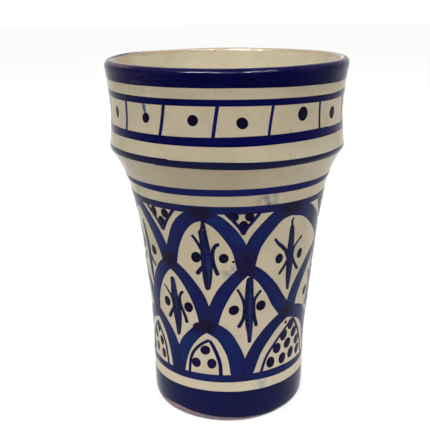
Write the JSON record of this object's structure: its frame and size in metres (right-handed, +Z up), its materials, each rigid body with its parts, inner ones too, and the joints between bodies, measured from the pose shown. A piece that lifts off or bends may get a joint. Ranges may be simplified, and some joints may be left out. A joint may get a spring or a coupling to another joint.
{
  "type": "drinking tumbler",
  "caption": "Handle-less earthenware tumbler with a flared collar, cream glaze, dark painted lip and foot, and a brushed blue fish-scale frieze; a cup for drinks.",
  "frame": {"origin": "centre of the foot, on the surface the cup stands on", "axes": "+Z up along the cup's axis to the mouth; -Y is the pictured side"},
  "size_m": [0.0802, 0.0802, 0.12],
  "materials": {
    "clay": "bare fired earthenware, matt",
    "cream_glaze": "cream glaze, satin gloss",
    "cobalt": "brushed cobalt fused into the glaze, gloss"
  },
  "bodies": {
    "root": {"clay_body": "clay", "inner_glaze": "cream_glaze", "outer_glaze": "cream_glaze", "lip_band": "cobalt", "collar_top_ring": "cobalt", "panel_dividers": "cobalt", "panel_dots": "cobalt", "collar_base_ring": "cobalt", "shoulder_ring": "cobalt", "neck_ring": "cobalt", "frieze_top_ring": "cobalt", "scale_net": "cobalt", "spandrel_lines": "cobalt", "spandrel_dots": "cobalt", "leaf_sprays": "cobalt", "leaf_dots": "cobalt", "arch_lines": "cobalt", "arch_dots": "cobalt", "frieze_base_ring": "cobalt", "foot_band": "cobalt"}
  },
  "joints": []
}
